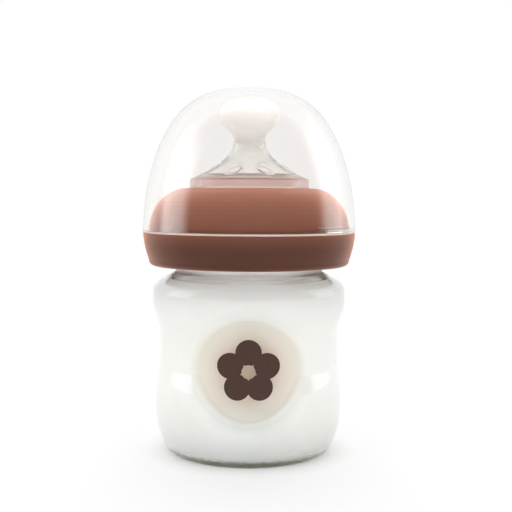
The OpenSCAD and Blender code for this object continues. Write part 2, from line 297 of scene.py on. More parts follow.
class Tree:
    """The nodes of one material or world, with short ways to make them."""

    def __init__(self, owner: Material | bpy.types.World) -> None:
        """Start with no nodes.

        Args:
            owner: The material or world.
        """
        self.owner = owner
        owner.use_nodes = True
        self.nodes = owner.node_tree.nodes
        self.nodes.clear()

    @classmethod
    def of_material(cls, name: str) -> "Tree":
        """Start the nodes of a new material."""
        return cls(bpy.data.materials.new(name))

    def node(
        self, kind: str, values: dict | None = None, output: int | str = 0, **settings: Any
    ) -> Link:
        """Make a shader node.

        Args:
            kind: The node's type name, without its ShaderNode at the front.
            values: Values or links of sockets, by name or number.
            output: Which output to give.
            **settings: Properties, set before any socket.

        Returns:
            The output socket.
        """
        made = self.nodes.new("ShaderNode" + kind)
        for key, value in settings.items():
            setattr(made, key, value)
        for key, value in (values or {}).items():
            self.feed(made.inputs[key], value)
        return made.outputs[output]

    def number(self, kind: str, values: dict | None = None, **settings: Any) -> Sock:
        """Make a node as the method above does, and give its output as a number."""
        return Sock(self, self.node(kind, values, **settings))

    def feed(self, socket: Link, value: Any) -> None:
        """Link a socket, or set its value.

        Args:
            socket: The input.
            value: A number, colour or shader of this tree, or a plain value.
        """
        if isinstance(value, Sock):
            value = value.link
        if isinstance(value, Link):
            self.owner.node_tree.links.new(value, socket)
        elif isinstance(value, tuple) and socket.type == "RGBA" and len(value) == 3:
            socket.default_value = (*value, 1.0)
        else:
            socket.default_value = value

    def place(self) -> Link:
        """Give the object coordinates of a point, in metres."""
        return self.node("TexCoord", output="Object")

    def split(self, vector: Link) -> tuple[Sock, Sock, Sock]:
        """Give a vector's three numbers."""
        made = self.node("SeparateXYZ", {"Vector": vector}).node
        return tuple(Sock(self, output) for output in made.outputs)

    def axes(self) -> tuple[Sock, Sock, Sock]:
        """Give the three object coordinates of a point in millimetres."""
        return tuple(part * (1 / MM) for part in self.split(self.place()))

    def noise(self, size: float, detail: float = 2.0, stretch: Triple = (1, 1, 1)) -> Sock:
        """Give smooth noise of 0 to 1.

        Args:
            size: Width of one lump in millimetres.
            detail: Octaves.
            stretch: Scale of the pattern along each axis.

        Returns:
            The noise.
        """
        moved = self.node("Mapping", {"Vector": self.place(), "Scale": stretch})
        values = {"Vector": moved, "Scale": 1 / (size * MM), "Detail": detail}
        return self.number("TexNoise", values)

    def blend(self, share: Any, first: Any, second: Any) -> Link:
        """Mix two colours: the first where share is 0 and the second where it is 1."""
        values = {0: share, 6: first, 7: second}
        return self.node("Mix", values, 2, data_type="RGBA")

    def bump(self, height: Sock, depth: float) -> Link:
        """Tilt the surface by a height of 0 to 1, that many millimetres deep."""
        return self.node("Bump", {"Height": height, "Distance": depth * MM})

    def principled(self, **values: Any) -> Link:
        """Make a Principled shader, with spaces in its socket names as underscores."""
        named = {key.replace("_", " "): value for key, value in values.items()}
        return self.node("BsdfPrincipled", named)

    def mix(self, share: Any, first: Any, second: Any) -> Link:
        """Mix two shaders: the first where share is 0 and the second where it is 1."""
        return self.node("MixShader", {0: share, 1: first, 2: second})

    def scatter(self, back: Any, through: Colour) -> Link:
        """Scatter light like a thin sheet: half back and half through, each in its colour."""
        near = self.principled(Base_Color=back, Roughness=0.5, Specular_IOR_Level=0.2)
        return self.mix(0.5, near, self.node("BsdfTranslucent", {"Color": through}))

    def by_ray(self, rays: Sequence[str], usual: Any, special: Any) -> Link:
        """Show one shader to some kinds of ray and the usual one to all others.

        Args:
            rays: Outputs of the Light Path node.
            usual: Shader for all other rays.
            special: Shader for the named rays.

        Returns:
            The mixed shader.
        """
        path = self.node("LightPath").node
        for ray in rays:
            usual = self.mix(path.outputs[ray], usual, special)
        return usual

    def lets_light_in(self, shader: Link) -> Link:
        """Let lamps and soft light straight through a clear wall, to what is behind it."""
        clear = self.node("BsdfTransparent")
        return self.by_ray(("Is Diffuse Ray", "Is Shadow Ray"), shader, clear)

    def done(self, shader: Link) -> Material | bpy.types.World:
        """Join a shader to the output.

        Args:
            shader: The shader.

        Returns:
            The finished material or world.
        """
        kind = "World" if isinstance(self.owner, bpy.types.World) else "Material"
        self.feed(self.nodes.new("ShaderNodeOutput" + kind).inputs["Surface"], shader)
        return self.owner


# ---- finishes ----


@dataclass(frozen=True)
class PaintedLightBand:
    """A faint pale band of painted light on a clear wall between two heights in millimetres.
    """

    low: float
    high: float
    share: float
    colour: Colour
    soft: float = 0.3

    def over(self, tree: Tree, wall: Link) -> Link:
        """Lay the veil over a wall; it passes half its light on.

        Args:
            tree: Nodes of the wall's material.
            wall: Shader of the bare wall.

        Returns:
            The mixed shader.
        """
        height = tree.axes()[2]
        start = height.ramp(self.low, self.low + self.soft)
        inside = start * height.ramp(self.high, self.high - self.soft)
        return tree.mix(inside * self.share, wall, tree.scatter(self.colour, self.colour))


@dataclass(frozen=True)
class ClearWall:
    """Clear glass or plastic, smooth, with faint waves from its mould."""

    name: str
    slot: str
    tint: Colour
    deep_tint: Colour
    ior: float
    wave_size: float
    wave_depth: float  # 0 for a wall without waves
    roughness: float
    # band of painted light, if any
    veil: PaintedLightBand | None = None
    tint_ramp: Pair = (0.35, 0.75)
    wave_stretch: Triple = (1.0, 1.0, 0.35)
    smudge_share: float = 0.7  # width of a smudge, as a share of a wave's

    def material(self) -> Material:
        """Draw a clear wall whose tint and gloss drift a little.

        Returns:
            The material.
        """
        tree = Tree.of_material(self.name)
        drift = tree.noise(self.wave_size, detail=1.0, stretch=self.wave_stretch)
        smudge = tree.noise(self.wave_size * self.smudge_share, detail=3.0)
        waves = {"Normal": tree.bump(drift, self.wave_depth)} if self.wave_depth else {}
        shader = tree.principled(
            Base_Color=tree.blend(drift.ramp(*self.tint_ramp), self.tint, self.deep_tint),
            Roughness=smudge * self.roughness,
            IOR=self.ior,
            Transmission_Weight=1.0,
            **waves,
        )
        wall = tree.lets_light_in(shader)
        return tree.done(self.veil.over(tree, wall) if self.veil else wall)


@dataclass(frozen=True)
class MilkFinish:
    """Milk behind the glass: creamy white, with painted shade in the dimple and a painted
    shadow along its floor.
    """

    floor_z: float
    dimple_z: float
    name: str = "milk"
    slot: str = "milk"
    cream: Colour = srgb(250, 248, 240)
    shade: Colour = srgb(247, 244, 235)
    # painted shade of the dimple's recess, deeper towards its middle
    dimple: Colour = srgb(234, 229, 219)
    dimple_deep_shade: Colour = srgb(230, 217, 204)
    # painted shadow along the milk's floor
    under: Colour = srgb(228, 228, 216)
    patch: Pair = (17.9, 15.9)  # distances from its middle where the dimple's painted shade starts and is full
    dark: Pair = (17.005, 5.37)  # the same for the deeper painted shade in its middle
    front_y: float = -5.0  # the painted shade is full from here forwards
    contact_shadow_h: float = 1.6
    lump: float = 22.0
    lump_ramp: Pair = (0.35, 0.7)
    gloss_lump: float = 9.0
    roughness: Pair = (0.3, 0.1)  # least, and what the lumps add
    glow_radius: Triple = (0.04, 0.037, 0.034)  # metres, by colour

    def material(self) -> Material:
        """Draw the milk, with painted shade for the dimple in a round patch on the front, and
        a painted shadow along its floor.

        Returns:
            The material.
        """
        tree = Tree.of_material(self.name)
        x, y, z = tree.axes()
        out = x.hypot(z - self.dimple_z)
        # painted shade: a round patch over the dimple on the front, darker towards its middle
        patch = out.ramp(*self.patch) * y.ramp(0, self.front_y)
        middle = out.ramp(*self.dark)
        lumps = tree.noise(self.lump).ramp(*self.lump_ramp)
        body = tree.blend(lumps, self.cream, self.shade)
        # painted shadow: darker within a little of the floor
        body = tree.blend(z.ramp(self.floor_z + self.contact_shadow_h, self.floor_z), body, self.under)
        painted_dimple_shade = tree.blend(middle, self.dimple, self.dimple_deep_shade)
        shader = tree.principled(
            Base_Color=tree.blend(patch, body, painted_dimple_shade),
            Roughness=self.roughness[0] + self.roughness[1] * tree.noise(self.gloss_lump),
            Subsurface_Weight=1.0,
            Subsurface_Radius=self.glow_radius,
            Subsurface_Scale=1.0,
        )
        return tree.done(shader)


@dataclass(frozen=True)
class MouldedPlastic:
    """Satin moulded plastic with a fine even grain, paler towards its top as painted top
    light.
    """

    name: str
    slot: str
    colour: Colour
    deep: Colour
    # colour at the top, lit by painted top light
    pale: Colour
    rise: Pair  # heights between which the painted top light makes it paler, in millimetres
    roughness: float = 0.36
    grain_gloss: float = 0.06
    drift_gloss: float = 0.05
    grain: float = 0.35  # width of a lump, as is the drift
    grain_depth: float = 0.012
    drift: float = 14.0
    drift_ramp: Pair = (0.3, 0.7)
    sheen: float = 0.8
    sheen_tint: Colour = srgb(236, 158, 128)

    def material(self) -> Material:
        """Draw two near colours in slow drifts, and a fine grain.

        Returns:
            Draw two near colours in slow drifts, a fine grain, and painted top light that
            pales it higher up.
        """
        tree = Tree.of_material(self.name)
        drift = tree.noise(self.drift, detail=3.0)
        grain = tree.noise(self.grain)
        body = tree.blend(drift.ramp(*self.drift_ramp), self.colour, self.deep)
        gloss = self.roughness + self.grain_gloss * (grain - 0.5)
        shader = tree.principled(
            # painted top light: paler higher up
            Base_Color=tree.blend(tree.axes()[2].ramp(*self.rise), body, self.pale),
            Roughness=gloss + self.drift_gloss * (drift - 0.5),
            IOR=1.5,
            Specular_IOR_Level=0.2,
            Sheen_Weight=self.sheen,
            Sheen_Roughness=0.4,
            Sheen_Tint=self.sheen_tint,
            Normal=tree.bump(grain, self.grain_depth),
        )
        return tree.done(shader)


@dataclass(frozen=True)
class SiliconeFinish:
    """Translucent silicone: clear enough to see through, with a milky veil and a painted tint
    for the brown ring seen through its collar.

    The veil passes half its light on to the other side, so the hollow tip glows evenly.
    """

    name: str = "silicone"
    slot: str = "teat_silicone"
    clear: Colour = srgb(253, 252, 250)
    veil: Colour = srgb(248, 246, 243)
    veil_share: float = 0.1
    collar_veil: float = 0.15
    tip_veil: float = 0.75
    # painted tint standing for the brown ring seen through the collar
    painted_ring_tint: Colour = srgb(232, 206, 198)
    frost: float = 0.15
    gloss: float = 0.04
    cloud: float = 5.0
    cloud_ramp: Pair = (0.3, 0.8)
    painted_ring_band: Pair = (92.5, 91.5)  # heights between which the painted ring tint starts
    milky: Pair = (101.0, 107.0)  # heights between which it grows milky

    def material(self) -> Material:
        """Mix clear silicone with a white veil, milkier at the tip, with the brown ring's tint
        painted into the collar.

        Returns:
            The material.
        """
        tree = Tree.of_material(self.name)
        cloud = tree.noise(self.cloud)
        height = tree.axes()[2]
        tip = height.ramp(*self.milky)
        collar = height.ramp(*self.painted_ring_band)
        pure = tree.blend(cloud.ramp(*self.cloud_ramp), self.clear, self.veil)
        # painted tint of the brown ring seen through the collar
        tint = tree.blend(collar, pure, self.painted_ring_tint)
        clear = tree.principled(
            Base_Color=tint,
            Roughness=self.gloss + self.gloss * cloud + self.frost * tip,
            IOR=1.41,
            Transmission_Weight=1.0,
        )
        veil = tree.scatter(tint, self.clear)
        share = self.veil_share + self.collar_veil * collar + self.tip_veil * tip
        return tree.done(tree.mix(share, tree.lets_light_in(clear), veil))


@dataclass(frozen=True)
class InkFinish:
    """Fired print: dark, slightly satin, with a faint speckle."""

    name: str = "print_ink"
    slot: str = "print_ink"
    colour: Colour = srgb(66, 39, 28)
    pale: Colour = srgb(74, 45, 34)
    speckle: float = 0.6
    speckle_ramp: Pair = (0.4, 0.8)
    roughness: Pair = (0.4, 0.15)  # least, and what the speckle adds

    def material(self) -> Material:
        """Draw the ink and its speckle.

        Returns:
            The material.
        """
        tree = Tree.of_material(self.name)
        speckle = tree.noise(self.speckle)
        tint = tree.blend(speckle.ramp(*self.speckle_ramp), self.colour, self.pale)
        gloss = self.roughness[0] + self.roughness[1] * speckle
        return tree.done(tree.principled(Base_Color=tint, Roughness=gloss))


BOTTLE_GLASS = ClearWall(
    name="bottle_glass",
    slot="bottle_glass",
    tint=srgb(252, 253, 253),
    deep_tint=srgb(248, 251, 250),
    ior=1.5,
    wave_size=9,
    wave_depth=0.02,
    roughness=0.01,
)
HOOD_PLASTIC = ClearWall(
    name="hood_plastic",
    slot="hood_plastic",
    tint=srgb(254, 253, 252),
    deep_tint=srgb(253, 252, 250),
    ior=1.49,
    wave_size=30,
    wave_depth=0.0,
    roughness=0.015,
)
RING_PLASTIC = MouldedPlastic(
    name="ring_plastic",
    slot="ring_plastic",
    colour=srgb(84, 49, 37),
    deep=srgb(80, 46, 34),
    # painted top light: paler from the band up over the crown
    pale=srgb(129, 80, 62),
    rise=(68, 77),
)


def dressed(piece: Piece, finish: Any) -> Piece:
    """Give a new piece its finish.

    Args:
        piece: The piece.
        finish: One of the finishes.

    Returns:
        The same piece.
    """
    piece.data.materials.append(shared_material(finish))
    return piece


@cache
def shared_material(finish: Any) -> Material:
    """Give a finish's material, made once."""
    return finish.material()


def painted(node: Piece, finish: Any) -> None:
    """Put a finish on a solid that keeps its own shape.

    Args:
        node: The solid.
        finish: One of the finishes.
    """
    for place in node.material_slots:
        place.material = shared_material(finish)
    LOG.info("painted %s as %s", node.name, finish.name)


# ---- the bottle ----


def corners(node: str) -> tuple[list[float], list[float]]:
    """Give a solid's lowest and highest corner in millimetres."""
    low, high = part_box(node)
    return [float(v) / MM for v in low], [float(v) / MM for v in high]


@dataclass
class BottleShape:
    """Sizes of the glass in millimetres; the levels follow from the rim's height."""

    rim_z: float
    band_r: float
    milk_z: float
    floor_z: float
    neck_h: float = 29.6
    heel_w: float = 5.9
    heel_powers: Pair = (1.8, 1.8)
    punt_h: float = 0.6
    foot_land: float = 2.4
    waist_in: float = 1.5
    band_out: float = 0.8
    # the belly's height, the waist's two and the band's, of the body's height
    levels: tuple[float, ...] = (0.3, 0.54, 0.755, 0.94)
    belly_power: float = 2.5
    shoulder_round: float = 4.0
    shoulder_slope: float = 30.0
    wall: float = 2.2
    neck_r: float = 24.4
    neck_wall: float = 3.0
    neck_fillet: float = 1.6
    rim_round: float = 0.9
    dimple_r: float = 16.6
    dimple_share: float = 0.58
    dimple_depth: float = 1.3
    dimple_round: float = 0.9
    side_points: int = 26
    edge_points: int = 14
    punt_points: int = 16
    columns: int = 368
    crowding: float = 0.55  # how far the columns are pulled towards the front

    @property
    def body_h(self) -> float:
        """Height of the body, from the foot to the shoulder's edge."""
        return self.rim_z - self.neck_h

    @property
    def belly_r(self) -> float:
        """Radius of the belly."""
        return self.band_r - self.band_out

    @property
    def dimple_z(self) -> float:
        """Height of the dimple's centre."""
        return self.dimple_share * self.body_h

    @property
    def floor_r(self) -> float:
        """Radius of the dimple's floor about the bottle's axis."""
        return self.belly_r - self.waist_in - self.dimple_depth

    def shoulder(self, inset: float) -> Array:
        """Follow the shoulder's round edge up to where its slope starts."""
        turn, end = self.shoulder_round, 90 - self.shoulder_slope
        return arc((self.band_r - turn, self.body_h), turn - inset, 0, end, self.edge_points)

    def slope_z(self, radius: float, inset: float) -> float:
        """Give the height of the shoulder's slope at a radius."""
        end_r, end_z = self.shoulder(inset)[-1]
        return end_z + (end_r - radius) * math.tan(math.radians(self.shoulder_slope))

    def side(self, inset: float, base: float) -> Array:
        """Follow the body from the heel to the end of the shoulder's round edge.

        The heel is a full quarter oval, the belly falls back to the waist as a power of
        the height, the waist is straight, and a cosine eases it out to the band.

        Args:
            inset: Distance inside the outer wall.
            base: Height at which the heel starts.

        Returns:
            The points, from low to high.
        """
        belly_z, waist_z, waist_top, band_z = (share * self.body_h for share in self.levels)
        foot = self.belly_r - self.heel_w
        heel = oval_quarter((0, 0), (1, 1), self.heel_powers, self.side_points)
        heel_r = foot + (self.belly_r - inset - foot) * heel[:, 1]
        heel_z = belly_z + (base - belly_z) * heel[:, 0]

        t = np.linspace(0, 1, self.side_points)
        fall_r = self.belly_r - inset - self.waist_in * t**self.belly_power
        fall_z = belly_z + (waist_z - belly_z) * t

        rise = (1 - np.cos(math.pi * t)) / 2
        rise_r = self.belly_r - self.waist_in + (self.band_out + self.waist_in) * rise - inset
        rise_z = waist_top + (band_z - waist_top) * t

        parts = [(heel_r, heel_z), (fall_r, fall_z), (rise_r, rise_z), self.shoulder(inset).T]
        return np.concatenate([np.column_stack(part) for part in parts])

    def outer(self) -> Array:
        """Follow the outside from the hollow under the foot up to the rim.

        Returns:
            The points, one a row.
        """
        foot = self.belly_r - self.heel_w
        reach = (foot - self.foot_land, self.punt_h)
        punt = oval_quarter((0, 0), reach, count=self.punt_points)[::-1]
        turn = self.neck_fillet
        fillet_r = self.neck_r + turn
        slope = math.radians(self.shoulder_slope)
        fillet_z = self.slope_z(fillet_r, 0) + turn / math.cos(slope)
        fillet = arc((fillet_r, fillet_z), turn, 270 - self.shoulder_slope, 180)
        turn = self.rim_round
        rim = arc((self.neck_r - turn, self.rim_z - turn), turn, 0, 90)
        return np.concatenate([punt, self.side(0, 0), fillet, rim])

    def inner(self, inset: float) -> Array:
        """Follow the inside from the cavity's floor up to the neck.

        Args:
            inset: Distance inside the outer wall.

        Returns:
            The points, one a row.
        """
        bore = self.neck_r - self.neck_wall - (inset - self.wall)
        start, end = [0, self.floor_z], [bore, self.slope_z(bore, inset)]
        return np.concatenate([[start], self.side(inset, self.floor_z), [end]])

    def angles(self) -> Array:
        """Give angles round the axis, closer together across the front dimple.

        The angle is a full turn of t, pulled towards the front by a sine of one turn.
        """
        t = FULL_TURN * np.linspace(0, 1, self.columns, endpoint=False)
        return t - self.crowding * np.sin(t + math.pi) - math.pi / 2

    def dimpled(self, grid: Array, grow: float, soft: float) -> Array:
        """Press the round dimple into a grid of points.

        A point inside the dimple's circle, as seen from the front, keeps its angle and
        moves in to the floor's radius; a smooth step carries the edge.

        Args:
            grid: Points, row by column by three.
            grow: Growth of the dimple, for the inside of the wall.
            soft: Half the width of the dimple's edge.

        Returns:
            The changed grid.
        """
        radius = np.hypot(grid[..., 0], grid[..., 1])
        out = np.hypot(grid[..., 0], grid[..., 2] - self.dimple_z)
        edge = self.dimple_r + grow
        target = self.floor_r - grow
        inside = (grid[..., 1] < 0) * (radius > target)
        share = smoothstep((edge + soft - out) / (2 * soft)) * inside
        return pushed(grid, 1 + share * (target / np.maximum(radius, TINY) - 1))


@dataclass
class Bottle:
    """The glass with its thread, and the milk; sizes in millimetres."""

    shape: BottleShape
    body: str = "bottle"
    outer_step: float = 0.6
    inner_step: float = 1.6
    starts: int = 2
    thread_lead: float = 8.0
    thread_h: float = 1.4
    thread_top: float = 3.0
    thread_taper: float = 30.0  # degrees
    thread_points: int = 160
    root_sunk: float = 0.4
    root_share: float = 0.56
    crest_sunk: float = 0.3
    crest_share: float = 0.24
    crest_soft: float = 1.25
    crest_drop: float = 0.25
    milk_bite: float = 0.06
    milk_eye_r: float = 0.5
    meniscus: float = 0.5
    meniscus_points: int = 20
    # painted light: a pale band on the neck glass above the milk
    neck_light_above: float = 1.4
    neck_light_h: float = 7.0
    neck_light_soft: float = 1.4
    neck_light_share: float = 0.42
    neck_light_colour: Colour = srgb(253, 246, 244)

    @property
    def finish(self) -> ClearWall:
        """The glass, with a pale scattering band above the milk's level: painted light for the
        brightness that shines through the neck.
        """
        low = self.shape.milk_z + self.neck_light_above
        high = low + self.neck_light_h
        neck_light = PaintedLightBand(low, high, self.neck_light_share, self.neck_light_colour, self.neck_light_soft)
        return replace(BOTTLE_GLASS, veil=neck_light)

    def build(self) -> None:
        """Make and dress all pieces of the bottle, and put them on its body."""
        for piece in [self.glass(), *self.threads(), self.milk()]:
            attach(piece, self.body)

    def glass(self) -> Piece:
        """Make the glass: one outline turned about the axis, with the dimple pressed in.

        The outline runs up the outside, over the rim and down the inside to the floor.

        Returns:
            The piece.
        """
        s, angles = self.shape, self.shape.angles()
        outside = resampled(s.outer(), self.outer_step)
        turn = s.rim_round
        lip = arc((s.neck_r - s.neck_wall + turn, s.rim_z - turn), turn, 90, 180)
        inside = np.concatenate([lip, s.inner(s.wall)[::-1]])
        inside = resampled(inside, self.inner_step)
        outside = s.dimpled(turned(outside[1:], angles), 0, s.dimple_round)
        inside = s.dimpled(turned(inside[:-1], angles), s.wall, s.wall)
        grid = np.concatenate([outside, inside])
        made = dressed(surface("bottle_wall", grid, Seam.POLES), self.finish)
        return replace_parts(made, "glass_bottle")

    def threads(self) -> list[Piece]:
        """Make the neck's thread ridges: a trapezoid down a helix, run out at its ends.

        The section's angle goes back as its height goes down, one lead a turn, and its
        crest sinks to the root over the first and last part of the turn.

        Returns:
            The ridges.
        """
        s = self.shape
        pitch = self.thread_lead / self.starts
        wide, narrow = pitch * self.root_share / 2, pitch * self.crest_share / 2
        soft = narrow * self.crest_soft
        back = np.linspace(0, 1, self.thread_points) * 360
        run_out = smoothstep(np.minimum(back, 360 - back) / self.thread_taper)
        root = np.full(len(back), s.neck_r - self.root_sunk)
        crest = s.neck_r - self.crest_sunk + (self.thread_h + self.crest_sunk) * run_out
        under = crest - self.crest_drop * (crest - root)
        radii = np.stack([root, under, crest, crest, under, root], axis=1)
        middle = s.rim_z - self.thread_top - pitch / 2 - self.thread_lead * back / 360
        heights = middle[:, None] + np.array([-wide, -soft, -narrow, narrow, soft, wide])
        made = []
        for start in range(self.starts):
            angle = np.radians(360 * start / self.starts - back)
            grid = around(radii, angle[:, None], heights)
            ridge = surface(f"neck_thread_{start + 1}", grid[::-1], Seam.SWEPT)
            made.append(dressed(ridge, self.finish))
        return made

    def milk(self) -> Piece:
        """Make the milk: the cavity's outline up to its level, with a curved edge on top.

        It reaches a hair into the glass, so that light passes from one to the other.

        Returns:
            The piece.
        """
        s = self.shape
        wall = resampled(s.inner(s.wall - self.milk_bite), self.inner_step)
        below = wall[wall[:, 1] < s.milk_z]
        edge_r = np.interp(s.milk_z, wall[:, 1], wall[:, 0])
        t = np.linspace(0, 1, self.meniscus_points)
        top_r = edge_r - (edge_r - self.milk_eye_r) * t**2
        top_z = s.milk_z - self.meniscus * (1 - (1 - t) ** 3)
        outline = np.concatenate([below[1:], np.column_stack([top_r, top_z])])
        grid = s.dimpled(turned(outline, s.angles()), s.wall - self.milk_bite, s.wall)
        finish = MilkFinish(s.floor_z, s.dimple_z)
        made = dressed(surface("milk_body", grid, Seam.POLES), finish)
        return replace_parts(made, "milk_fill")


# ---- the teat and the hood ----


@dataclass
class Teat:
    """The silicone teat; sizes and levels in millimetres."""

    tip_z: float
    base_z: float
    flange_r: float
    rim_z: float
    body: str = "teat"
    outer_step: float = 0.34
    inner_step: float = 0.7
    columns: int = 360
    flange_t: float = 2.0
    seal_in: float = 4.3
    seal_w: float = 1.2
    seal_tip: Pair = (0.3, 0.8)  # the tip's two edges, in from its outside
    wall: float = 1.8
    root_r: float = 17.9
    plate_z: float = 88.2
    collar_gap: float = 0.1
    collar_h: float = 3.2
    collar_out: float = 2.1
    collar_round: float = 0.9
    collar_edge: float = 0.4
    collar_rise: float = 0.6
    collar_points: int = 12
    flare_h: float = 12.4
    flare_bend: Pair = (0.56, 0.25)  # first handle, of its width and height
    flare_upright: float = 0.51  # second handle, of its height
    flare_points: int = 60
    neck_r: float = 5.2
    bulb_h: float = 8.0
    bulb_r: float = 10.1
    bulb_powers: Pair = (2.2, 2.2)
    bulb_points: int = 40
    bulb_handles: Pair = (0.42, 0.48)  # both handles, of its height
    hole_r: float = 0.35
    petal_count: int = 8
    petal_proud: float = 0.6
    petal_half_w: float = 3.2
    petal_edge: float = 0.22
    petal_from: int = 1  # first and last of the flare's points that it spans
    petal_to: int = 27
    skin: float = 0.4  # a point this near the flare is on its outside

    @property
    def collar_z(self) -> float:
        """Height of the collar's top edge."""
        return self.plate_z + self.collar_gap + self.collar_h

    @property
    def flare_z(self) -> float:
        """Height at which the trumpet starts."""
        return self.collar_z + self.collar_rise

    def collar(self) -> Array:
        """Follow the collar that sits on the ring, from its foot to its rounded top.

        Returns:
            The points, one a row.
        """
        low = self.plate_z + self.collar_gap
        edge = self.root_r + self.collar_out
        foot = arc((edge - self.collar_edge, low + self.collar_edge), self.collar_edge, -90, 0)
        turn = self.collar_round
        top = arc((edge - turn, self.collar_z - turn), turn, 0, 90, self.collar_points)
        return np.concatenate([foot, top])

    def flare(self, inset: float) -> Array:
        """Follow the trumpet from the collar up to the narrow neck.

        Args:
            inset: Distance inside the outer wall.

        Returns:
            The points, one a row.
        """
        neck = self.neck_r - inset
        bend_r = neck + (self.root_r - self.neck_r) * self.flare_bend[0]
        radii = (self.root_r - inset, bend_r, neck, neck)
        heights = (0, self.flare_bend[1], self.flare_upright, 1)
        heights = (self.flare_z + self.flare_h * share for share in heights)
        return cubic(list(zip(radii, heights)), self.flare_points)

    def bulb(self, inset: float) -> Array:
        """Follow the tip from the narrow neck to the feeding hole.

        Args:
            inset: Distance inside the outer wall.

        Returns:
            The points, one a row.
        """
        neck_z = self.flare_z + self.flare_h
        neck, wide = self.neck_r - inset, self.bulb_r - inset
        low, high = (neck_z + self.bulb_h * share for share in self.bulb_handles)
        wide_z = neck_z + self.bulb_h
        rise = cubic([(neck, neck_z), (neck, low), (wide, high), (wide, wide_z)])
        reach = (wide, self.tip_z - wide_z - inset)
        top = oval_quarter((0, wide_z), reach, self.bulb_powers, self.bulb_points)
        return np.concatenate([rise, top[top[:, 0] > self.hole_r]])

    def build(self) -> None:
        """Make the teat: up the outside, through the hole and down inside to the flange."""
        seat = self.rim_z + self.flange_t
        seal = self.flange_r - self.seal_in
        tips = [[seal - inwards, self.base_z] for inwards in self.seal_tip]
        root = [[self.flange_r, seat], [self.root_r, seat]]
        root += [[self.root_r, self.plate_z + self.collar_gap]]
        foot = [tips[0], [seal, self.rim_z], [self.flange_r, self.rim_z], *root]
        outside = np.concatenate([foot, self.collar(), self.flare(0), self.bulb(0)])
        start = [[self.root_r - self.wall, self.rim_z]]
        inside = np.concatenate([start, self.flare(self.wall), self.bulb(self.wall)])
        outside = resampled(outside, self.outer_step)
        inside = resampled(inside[::-1], self.inner_step)
        tail = [[seal - self.seal_w, self.rim_z], tips[1]]
        angles = np.linspace(0, FULL_TURN, self.columns, endpoint=False)
        grid = self.embossed(turned(np.concatenate([outside, inside, tail]), angles))
        made = dressed(surface("teat_skin", grid, Seam.LOOP), SiliconeFinish())
        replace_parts(made, "silicone_teat")
        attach(made, self.body)

    def embossed(self, grid: Array) -> Array:
        """Raise the petals on the outside of the flare.

        A petal is an oval as seen on the flare: its width over the half width squared
        plus its height over the half height squared is under 1. It has a flat top and a
        short steep edge, and it moves points straight out from the axis.

        Args:
            grid: Points of the whole teat.

        Returns:
            The changed points.
        """
        radius = np.hypot(grid[..., 0], grid[..., 1])
        z = grid[..., 2]
        flare = self.flare(0)
        outside = np.abs(radius - np.interp(z, flare[:, 1], flare[:, 0])) < self.skin
        low, high = flare[self.petal_from, 1], flare[self.petal_to, 1]
        turn = FULL_TURN / self.petal_count
        angle = np.arctan2(grid[..., 1], grid[..., 0]) - math.pi / 2 - turn / 2
        off = (np.mod(angle + turn / 2, turn) - turn / 2) * radius / self.petal_half_w
        up = (2 * z - low - high) / (high - low)
        inside = smoothstep((1 - np.hypot(off, up)) / self.petal_edge) * outside
        return pushed(grid, 1 + self.petal_proud * inside / np.maximum(radius, TINY))


